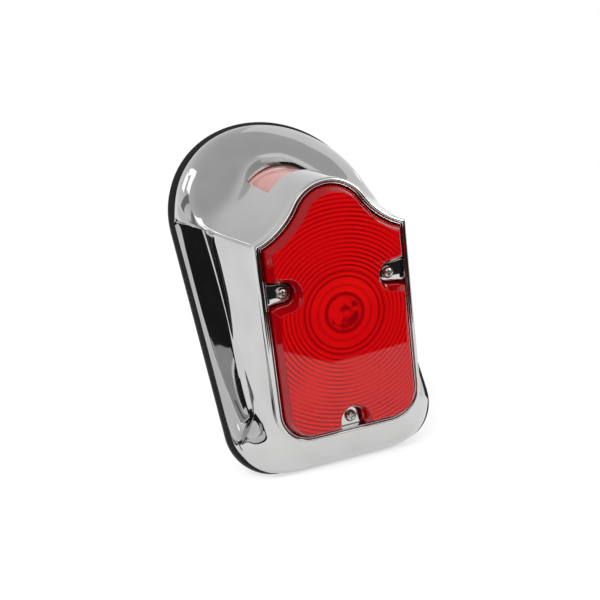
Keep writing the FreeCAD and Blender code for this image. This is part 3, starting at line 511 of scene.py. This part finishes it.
# Left half of the cage, column by column from the top middle round to the bottom middle: the edge
# and share of the rim outline, then the stretch of the base outline that the foot is on and where
# on it (degrees, or millimetres on a straight stretch), then the middle points (x, y, z) in the
# base frame, from the foot up to where the wall of the box begins.
COLUMNS = (
    (0, 0.00, "top", 90,
     ((0, 88.2, 10.8), (0, 77.5, 16), (0, 69.5, 18.3), (0, 63.5, 20.8), (0, 57, 30.5))),
    (0, 0.33, "top", 80,
     ((-9, 87.5, 10.8), (-8.8, 76.7, 16), (-7.9, 69, 18.3), (-7, 62.8, 20.8), (-6.6, 56.5, 30))),
    (0, 0.66, "top", 68,
     ((-19.4, 84.7, 10.8), (-18.6, 74.8, 16), (-16, 66.8, 18.4), (-13.2, 59.8, 21), (-12.7, 53.8, 28.8))),
    (0, 1.00, "top", 55,
     ((-29.7, 79.5, 10.8), (-28.3, 71.5, 16.5), (-25, 63, 21), (-19.9, 54.1, 23.2), (-18, 47.8, 29.7))),
    (1, 0.33, "top", 38,
     ((-40.6, 70, 11), (-38.2, 65, 18.3), (-34, 55, 26), (-27.2, 43.6, 26), (-25.5, 36.9, 33.4))),
    (1, 0.66, "top", 22,
     ((-48, 58.2, 11), (-46, 54.5, 18.5), (-41.8, 47.5, 26.5), (-36, 38.5, 28.5), (-34.3, 30, 37))),
    (1, 0.90, "top", 8,
     ((-51.5, 47.5, 11), (-50, 43.5, 19), (-47.2, 36.5, 27), (-44.3, 28.5, 34), (-42.2, 21, 42))),
    (1, 1.00, "side", 43.5,
     ((-51.8, 43.5, 7.5), (-51, 38, 16.5), (-49, 29.5, 28.5), (-44, 19.8, 42.4), (-42.6, 16.5, 46.5))),
    (2, 0.03, "side", 41,
     ((-50.5, 41, 7.5), (-46.9, 36, 16.5), (-43.3, 29, 26.5), (-43, 17.3, 42.3), (-42.3, 14.5, 46))),
    (2, 0.25, "side", 15,
     ((-50.5, 15, 7.2), (-46.6, 11.5, 16.5), (-42.8, 7, 26), (-42.1, 1.5, 41.4), (-41.5, 0.5, 44.5))),
    (2, 0.53, "side", -15,
     ((-50.4, -15, 7.2), (-46.4, -17, 15.2), (-42.6, -20, 23), (-41.7, -23, 32), (-41.1, -24, 34.8))),
    (2, 0.79, "side", -45,
     ((-49.3, -45, 7.2), (-46.3, -46, 11), (-43.2, -47, 16), (-41.2, -48, 21.3), (-40.8, -48.7, 23.6))),
    (2, 0.98, "side", -71,
     ((-46.6, -71.5, 8), (-44.5, -69.5, 9.8), (-42.3, -67, 12.3), (-40.6, -64.5, 15.6), (-40.2, -65, 17.8))),
    (3, 0.15, "corner", 15,
     ((-50.8, -79, 8.6), (-49.6, -78.2, 11.8), (-47.6, -76.6, 14.8), (-44.4, -74.6, 17.8), (-40.6, -73, 20.8))),
    (3, 0.42, "corner", 40,
     ((-46.6, -87.6, 8), (-45.8, -86.5, 12), (-44.3, -84.5, 16), (-41.8, -81.3, 19.7), (-39, -78.5, 22.7))),
    (3, 0.72, "corner", 65,
     ((-38.8, -93.7, 8), (-38.2, -92.7, 12), (-37.2, -91, 16), (-35.4, -88.7, 19.8), (-33, -86.9, 22.8))),
    (3, 1.00, "foot", 27,
     ((-27, -96, 8), (-26.7, -95.2, 12), (-26.2, -93.7, 15.8), (-25, -91.6, 19.2), (-23.2, -89.3, 22.3))),
    (4, 0.50, "foot", 13,
     ((-13, -96, 8), (-12.9, -95.2, 12), (-12.7, -93.7, 15.8), (-12.2, -91.6, 19.2), (-11.4, -89.3, 22.3))),
    (4, 1.00, "foot", 0,
     ((0, -96, 8), (0, -95.2, 12), (0, -93.7, 15.8), (0, -91.6, 19.2), (0, -89.3, 22.3))),
)
# rows of the cage that stay crisp along the flute, and the columns where the flute starts and ends
RIDGE, FLOOR_EDGE, LOWER_EDGE = 5, 4, 2
STEP, FLUTE_TOP, FLUTE_END = 7, 8, 12
RIM, RIM_LEVEL = lens_outline(3.0), -10.0


def foot_point(kind, value):
    """A point on the left half of the housing's base outline."""
    angle = math.radians(value)
    if kind == "top":
        return -PAN_WIDE * math.cos(angle), PAN_ROUND + PAN_WIDE * math.sin(angle)
    if kind == "side":
        return -PAN_WIDE, value
    if kind == "corner":
        return (
            -PAN_WIDE + PAN_CORNER * (1 - math.cos(angle)),
            PAN_LOW + PAN_CORNER * (1 - math.sin(angle)),
        )
    return -value, PAN_LOW


def cage_column(edge, share, kind, value, middle):
    """One column of the cage from the back edge to the rim."""
    foot_x, foot_y = foot_point(kind, value)
    rim_x, rim_y = RIM(edge, share)
    rim = point(LENS, -rim_x, rim_y, RIM_LEVEL)
    behind = point(LENS, -rim_x, rim_y, RIM_LEVEL - 1.5)
    column = [point(BASE, foot_x, foot_y, GASKET_THICK), point(BASE, foot_x, foot_y, LIP_TOP)]
    column += [point(BASE, *place) for place in middle]
    column += [column[-1].lerp(behind, 0.4), column[-1].lerp(behind, 0.75), behind, rim]
    return column


def housing_skin():
    """The outer skin of the housing: a grid whose points are moved onto the cage."""
    cage = [cage_column(*column) for column in COLUMNS]
    rows, columns = len(cage[0]), len(cage)
    form = bmesh.new()
    bmesh.ops.create_grid(form, x_segments=columns - 1, y_segments=rows - 1, size=1)
    step_x, step_y = 2 / (columns - 1), 2 / (rows - 1)
    crease = form.edges.layers.float.new("crease_edge")
    place_of = {}
    for vert in form.verts:
        place_of[vert] = (round((vert.co.y + 1) / step_y), round((vert.co.x + 1) / step_x))
    for edge in form.edges:
        (row_a, column_a), (row_b, column_b) = (place_of[vert] for vert in edge.verts)
        low_row, low_column = min(row_a, row_b), min(column_a, column_b)
        edge[crease] = crease_of(low_row, low_column, row_a == row_b)
    for vert, (row, column) in place_of.items():
        vert.co = cage[column][row]
    bmesh.ops.mirror(form, geom=form.verts[:] + form.edges[:] + form.faces[:], axis="X", merge_dist=0.00005)
    return outward(form)


def crease_of(row, column, along):
    """How sharp a cage edge stays; along is true for edges that run round the housing."""
    if along:
        if row == RIDGE and STEP <= column <= FLUTE_END:
            return 0.75
        if row == LOWER_EDGE and STEP <= column <= FLUTE_END:
            return 0.7
        if row == FLOOR_EDGE and FLUTE_TOP <= column < FLUTE_END:
            return 0.65
        if row == 1:
            return 0.5
        return 0.0
    if column in (STEP, FLUTE_TOP) and LOWER_EDGE <= row < RIDGE:
        return 0.6
    if column in (FLUTE_END, FLUTE_END + 1) and LOWER_EDGE <= row < RIDGE:
        return 0.6
    return 0.0


housing = piece("housing_shell", housing_skin(), CHROME, "housing_unit", "chrome", "housing")
smoothing = housing.modifiers.new("smooth", "SUBSURF")
smoothing.levels = smoothing.render_levels = 3
walls = housing.modifiers.new("walls", "SOLIDIFY")
walls.thickness = 1.2 * MM
walls.offset = -1.0
baked(housing)


def window_hole():
    """The rounded block that cuts the number-plate window through the top of the box."""
    half, front, rear, corner = 17.0, -40.0, -76.0, 1.2
    outline = []
    for x, z, start in ((half, front, 0), (-half, front, 1), (-half, rear, 2), (half, rear, 3)):
        centre_x, centre_z = x - math.copysign(corner, x), z + (corner if z == rear else -corner)
        for step in range(5):
            turn = math.pi / 2 * (start + step / 4)
            outline.append((centre_x + corner * math.cos(turn), centre_z + corner * math.sin(turn)))
    across = LENS @ Matrix.Rotation(math.radians(90), 4, "X")
    return stacked([(outline, -34.0), (outline, -78.0)], across)


carve(housing, window_hole())
creased(housing, 40)

# the ledge inside the rim, which carries the seal and the three threaded inserts
ledge = piece(
    "lens_ledge", swept([(1.9, -13.0), (-4.0, -13.0), (-4.0, -14.5), (1.9, -14.5)]),
    CHROME, "housing_unit", "chrome", "housing", smooth=False,
)
for x, y in SCREWS:
    carve(ledge, turned([(0, -13.0), (4.2, -13.0), (4.2, -14.5), (0, -14.5)], 32, LENS, x, y), "UNION")
    carve(ledge, turned([(0, -12.0), (2.35, -12.0), (2.35, -16.0), (0, -16.0)], 32, LENS, x, y))


def plate_lug(side, level, reach):
    """A cast lug inside the wall; reach is how far out it goes at its foot, middle and top."""
    low, high = 5.0, 14.0
    foot, middle, top = reach
    outline = [(side * x, z) for x, z in (
        (38.5, low), (foot, low), (middle, 8.6), (top, high), (39.4, high), (38.5, high - 0.9),
    )]
    along = BASE @ Matrix.Rotation(math.radians(90), 4, "X")
    return stacked([(outline, -level - 4.5), (outline, -level + 4.5)], along)


lugs = bmesh.new()
for side in (-1, 1):
    for level, reach in ((34.0, (50.0, 49.0, 46.6)), (-42.0, (49.2, 47.4, 44.0))):
        blank = bpy.data.objects.new("lug", bpy.data.meshes.new("lug"))
        scene.collection.objects.link(blank)
        form = plate_lug(side, level, reach)
        form.to_mesh(blank.data)
        form.free()
        carve(blank, turned([(0, 4.0), (2.05, 4.0), (2.05, 15.0), (0, 15.0)], 24, BASE, side * 43.0, level))
        lugs.from_mesh(blank.data)
        bpy.data.objects.remove(blank)
piece("plate_lug_castings", lugs, ZINC, "housing_unit", "zinc_steel", "plate_lugs", smooth=False)


# ---------------------------------------------------------------- lens and bezel


def bezel_section():
    """A rounded outer bead, a groove and a thin inner lip."""
    bead = [(1.9 + 1.1 * math.cos(math.radians(turn)), -6.1 + 1.1 * math.sin(math.radians(turn)))
            for turn in range(0, 181, 20)]
    lip = [(0.45 + 0.25 * math.cos(math.radians(turn)), -5.85 + 0.25 * math.sin(math.radians(turn)))
           for turn in range(0, 181, 30)]
    return [(3.0, -10.0), *bead, (0.78, -6.9), *lip, (0.2, -10.0)]


def tab_outline(x, y, grow):
    """A round-ended tab from a screw to the bezel, flared where it meets the bezel."""
    outward_turn = math.atan2(0, x) if x else -math.pi / 2
    reach = (34.6 - abs(x)) if x else 6.2
    radius = 4.4 + grow
    outline = [(reach, -radius - 0.8), (reach, radius + 0.8), (reach * 0.5, radius + 0.15)]
    for step in range(13):
        turn = math.pi / 2 + math.pi * step / 12
        outline.append((radius * math.cos(turn), radius * math.sin(turn)))
    outline.append((reach * 0.5, -radius - 0.15))
    cos, sin = math.cos(outward_turn), math.sin(outward_turn)
    return [(x + u * cos - v * sin, y + u * sin + v * cos) for u, v in outline]


bezel = piece("lens_bezel_bead", swept(bezel_section()), CHROME, "lens_cover", "chrome", "lens_bezel")
for x, y in SCREWS:
    tab = stacked([
        (tab_outline(x, y, 0), -9.7), (tab_outline(x, y, 0), -8.4),
        (tab_outline(x, y, -0.15), -8.25), (tab_outline(x, y, -0.35), -8.2),
    ])
    carve(bezel, tab, "UNION")
    carve(bezel, turned([(0, -7.0), (1.7, -7.0), (1.7, -10.4), (0, -10.4)], 24, LENS, x, y))
creased(bezel, 38)


def ring_plate():
    """The moulded prism rings behind the lens face: a bull's-eye, a thick double ring, then ridges."""
    profile = [(0, -2.0), (60.5, -2.0), (60.5, -2.35)]
    radius = 58.6
    while radius > 20.5:
        profile += [(radius, -3.0), (radius - 1.55, -2.35)]
        radius -= 2.0
    profile += [(19.6, -3.9), (18.4, -2.4), (17.6, -3.9), (16.4, -2.4), (14.4, -2.9), (12.6, -2.4),
                (10.8, -2.9), (9.4, -2.4), (8.6, -3.7), (7.2, -4.2), (4.8, -4.75), (2.4, -5.0), (0, -5.1)]
    return turned(profile, 96)


lens = piece("lens_shell", stacked([
    (notched(-5.0, NOTCH + 4.6), -2.3), (notched(-3.3, NOTCH + 2.6), -5.4),
    (notched(-2.9, NOTCH + 2.4), -11.2), (notched(-0.3, NOTCH - 0.1), -11.2),
    (notched(-0.6, NOTCH), -4.9), (notched(-0.75, NOTCH + 0.12), -4.3),
    (notched(-2.65, NOTCH + 2.05), -0.45), (notched(-2.95, NOTCH + 2.4), -0.08),
    (notched(-3.35, NOTCH + 2.8), 0.0),
]), RED, "lens_cover", "red_lens", "lens")
plate = piece("rings", ring_plate(), RED, "lens_cover", "red_lens")
slab = stacked([(notched(-5.0, NOTCH + 4.6), -8.0), (notched(-5.0, NOTCH + 4.6), -1.0)])
carve(plate, slab, "INTERSECT")
rings = bmesh.new()
rings.from_mesh(plate.data)
bpy.data.objects.remove(plate)
carve(lens, rings, "UNION")
flange = swept([(1.5, -11.5), (1.5, -10.0), (-1.6, -10.0), (-1.6, -11.5)])
carve(lens, flange, "UNION")
creased(lens, 12)
# the walls and flange take the darker acrylic, which carries painted shade
lens.data.materials.append(SHADED_RED_WALL)
for face in lens.data.polygons:
    straight_out = abs(face.normal.y) > 0.98
    face.material_index = 0 if straight_out and face.center.y < lens_low.y + 6 * MM else 1


# ---------------------------------------------------------------- bulb filaments and spring

# coiled tungsten, tail filament in front and stop filament behind it
ACROSS = Matrix.Rotation(math.radians(90), 4, "Y")
COIL_RADIUS, COIL_WIRE, COIL_PITCH = 0.37, 0.07, 0.5
coils = bmesh.new()
for y, half, level in ((-0.9, 4.0, -21.0), (0.9, 3.0, -26.0)):
    place = Matrix.Translation(point(LENS, 0, y, level)) @ ACROSS
    one = coil(place, 0, 0, -half, COIL_RADIUS, COIL_WIRE, 2 * half / COIL_PITCH, 2 * half, 12)
    part_mesh = bpy.data.meshes.new("filament")
    one.to_mesh(part_mesh)
    one.free()
    coils.from_mesh(part_mesh)
piece("coiled_filaments", coils, TUNGSTEN, "bulb", "tungsten", "bulb_filaments")

SPRING_RADIUS, SPRING_WIRE, SPRING_TURNS = 6.2, 0.35, 3.0
spring_low, spring_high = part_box("contact_spring")
spring_back = (LENS.inverted() @ Vector((0, spring_high.y, 0))).z / MM
spring_long = (spring_high.y - spring_low.y) / MM
spring = piece(
    "coiled_contact_spring",
    coil(LENS, 0, 0, spring_back + SPRING_WIRE, SPRING_RADIUS, SPRING_WIRE, SPRING_TURNS,
         spring_long - 2 * SPRING_WIRE, 32),
    SPRING, "housing_unit", "spring_steel", "contact_spring",
)
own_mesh(spring)


# ---------------------------------------------------------------- stage


def lamp(name, place, target, size, power):
    """A soft rectangular lamp that faces target."""
    data = bpy.data.lights.new(name, "AREA")
    data.shape = "RECTANGLE"
    data.size, data.size_y = size
    data.energy = power
    made = bpy.data.objects.new(name, data)
    made.location = place
    made.rotation_euler = (Vector(target) - Vector(place)).to_track_quat("-Z", "Y").to_euler()
    scene.collection.objects.link(made)


def stage_piece(name, form, code, glow, seen):
    """A stage piece; glow is one strength, or the strengths level with the object and overhead.

    Where seen is false, only metal and glass show it, and it neither lights nor shades anything.
    """
    mesh = bpy.data.meshes.new(name)
    form.to_mesh(mesh)
    form.free()
    made = bpy.data.objects.new(name, mesh)
    scene.collection.objects.link(made)
    paint, tree, shader, where = finish_of(name + "_paint", Roughness=1.0, Specular_IOR_Level=0.0)
    shader.inputs["Base Color"].default_value = linear(code)
    shader.inputs["Emission Color"].default_value = linear("#ffffff")
    if isinstance(glow, tuple):
        turn = add(tree, "ShaderNodeVectorMath", {0: where}, operation="NORMALIZE")
        rise = add(tree, "ShaderNodeSeparateXYZ", {0: turn.outputs[0]})
        fade = add(tree, "ShaderNodeMapRange", {
            "Value": rise.outputs["Z"], "From Min": 0.2, "From Max": 0.95,
            "To Min": glow[0], "To Max": glow[1],
        })
        tree.links.new(fade.outputs["Result"], shader.inputs["Emission Strength"])
    else:
        shader.inputs["Emission Strength"].default_value = glow
    mesh.materials.append(paint)
    made.visible_camera = seen
    made.visible_shadow = seen
    made.visible_diffuse = seen


def toward(azimuth, elevation):
    """A direction; azimuth runs from straight behind towards the left."""
    turn, rise = math.radians(azimuth), math.radians(elevation)
    return Vector((-math.sin(turn) * math.cos(rise), math.cos(turn) * math.cos(rise), math.sin(rise)))


def up_to(across, back):
    """The upward direction with these parts to the right and to the rear."""
    return Vector((across, back, math.sqrt(1 - across**2 - back**2)))


def strip(name, start, end, width, glow, distance=0.85):
    """A long card between two directions, width degrees across."""
    low, high = start * distance, end * distance
    along = (high - low).normalized()
    facing = ((low + high) / 2).normalized()
    across = along.cross(facing).normalized()
    form = bmesh.new()
    bmesh.ops.create_grid(form, x_segments=1, y_segments=1, size=0.5)
    bmesh.ops.scale(form, vec=(math.radians(width) * distance, (high - low).length, 1), verts=form.verts)
    turn = Matrix((across, along, across.cross(along))).transposed().to_4x4()
    bmesh.ops.transform(form, matrix=Matrix.Translation((low + high) / 2) @ turn, verts=form.verts)
    stage_piece(name, form, "#000000", glow, False)


def screen(name, azimuths, elevations, distance, glow):
    """A screen curved round the object; azimuth runs from straight behind towards the left."""
    form = bmesh.new()
    low, high = (math.radians(value) for value in elevations)
    start, end = (math.radians(value) for value in azimuths)
    verts = []
    for step in range(9):
        rise = low + (high - low) * step / 8
        place = Vector((0, math.cos(rise), math.sin(rise))) * distance
        verts.append(form.verts.new(Matrix.Rotation(start, 3, "Z") @ place))
    edges = [form.edges.new(pair) for pair in zip(verts, verts[1:])]
    bmesh.ops.spin(form, geom=verts + edges, axis=(0, 0, 1), cent=(0, 0, 0), angle=end - start, steps=24)
    stage_piece(name, form, "#000000", glow, False)


FLOOR = cad_low.z - 0.4 * MM
ground = bmesh.new()
bmesh.ops.create_circle(ground, cap_ends=True, segments=64, radius=0.9)
bmesh.ops.translate(ground, vec=(0, 0, FLOOR), verts=ground.verts)
stage_piece("floor", ground, "#b8b8b8", 0.58, True)


def dim_apron(name, low_x, low_y, high_x, high_y):
    """A dark sheet on the floor that only metal and glass show."""
    form = bmesh.new()
    bmesh.ops.create_grid(form, x_segments=1, y_segments=1, size=0.5)
    bmesh.ops.scale(form, vec=(high_x - low_x, high_y - low_y, 1), verts=form.verts)
    middle = ((low_x + high_x) / 2, (low_y + high_y) / 2, FLOOR + 0.5 * MM)
    bmesh.ops.translate(form, vec=middle, verts=form.verts)
    stage_piece(name, form, "#000000", 0.02, False)


# Only metal and glass see these: the white table top ends in front, with a dim room past it; a
# black card with a grey window stands on the left; strip lights and two soft panels, one over the
# front and one on the right, hang under a grey ceiling.
dim_apron("dim_front", -0.9, -1.2, 0.9, -0.296)
dim_apron("dim_left", -0.6, -0.296, -0.25, 0.09)
screen("dim_room", (125, 245), (-9, 10), 1.1, 0.02)
screen("left_sheet", (30, 125), (-9, 12), 1.0, 0.8)
screen("flag_high", (48, 80), (-12, 8), 0.4, 0.015)
screen("flag_low", (80, 100), (-12, 6), 0.4, 0.015)
strip("flag_window", toward(74, -4.5), toward(110, 1), 7.5, 0.4, 0.39)
strip("flag_rim_upper", toward(74, -1), toward(110, 5), 1.0, 1.3, 0.385)
strip("flag_rim_lower", toward(76, -8.5), toward(108, -3), 0.8, 0.9, 0.385)
strip("flag_bar", toward(84, -4.5), toward(108, 0), 1.2, 0.1, 0.38)
screen("ceiling", (0, 360), (11, 90), 0.95, (0.92, 0.58))
screen("right_light", (262, 340), (18, 60), 0.9, 0.95)
screen("front_light", (130, 230), (14, 46), 0.9, 1.7)
strip("right_window", toward(296, 14), toward(312, 15), 9, 5.0)
strip("patch", up_to(-0.61, 0.75), up_to(-0.57, 0.52), 4, 0.25)
strip("strip_a", up_to(-0.49, 0.75), up_to(-0.36, 0.725), 8, 1.9)
strip("strip_b", up_to(-0.53, 0.57), up_to(-0.30, 0.57), 8, 1.9)
strip("strip_join", up_to(-0.333, 0.73), up_to(-0.265, 0.52), 5, 1.9)
lamp("key_left", (-0.45, -0.55, 0.65), (0, 0, 0), (0.35, 0.35), 4.0)
lamp("fill_right", (0.55, -0.55, 0.35), (0, 0, 0), (0.4, 0.4), 2.5)

# the room lights the object softly, and shows as plain white behind it and in its gloss
world = bpy.data.worlds.new("studio")
world.use_nodes = True
scene.world = world
tree = world.node_tree
tree.nodes.clear()
rays = add(tree, "ShaderNodeLightPath")
mirrored = add(tree, "ShaderNodeMath", {
    0: rays.outputs["Is Glossy Ray"], 1: rays.outputs["Is Transmission Ray"],
}, operation="MAXIMUM")
in_sight = add(tree, "ShaderNodeMath", {
    0: rays.outputs["Is Camera Ray"], 1: mirrored.outputs[0],
}, operation="MAXIMUM")
soft = add(tree, "ShaderNodeBackground", {"Color": linear("#ffffff"), "Strength": 0.8})
white = add(tree, "ShaderNodeBackground", {"Color": linear("#ffffff"), "Strength": 1.0})
shown = add(tree, "ShaderNodeMixShader", {
    0: in_sight.outputs[0], 1: soft.outputs[0], 2: white.outputs[0],
})
add(tree, "ShaderNodeOutputWorld", {"Surface": shown.outputs[0]})

camera_data = bpy.data.cameras.new("camera")
camera = bpy.data.objects.new("camera", camera_data)
scene.collection.objects.link(camera)
eye = Vector((-0.150, -0.4856, 0.1267))
right = Vector((0.937, -0.331, -0.116))
forward = Vector((0.293, 0.920, -0.259)).normalized()
right = (right - forward * right.dot(forward)).normalized()
up = right.cross(forward)
camera.matrix_world = Matrix((
    (right.x, up.x, -forward.x, eye.x),
    (right.y, up.y, -forward.y, eye.y),
    (right.z, up.z, -forward.z, eye.z),
    (0, 0, 0, 1),
))
camera_data.lens = 59.9
camera_data.sensor_width = 36
scene.camera = camera
scene.view_settings.view_transform = "Standard"
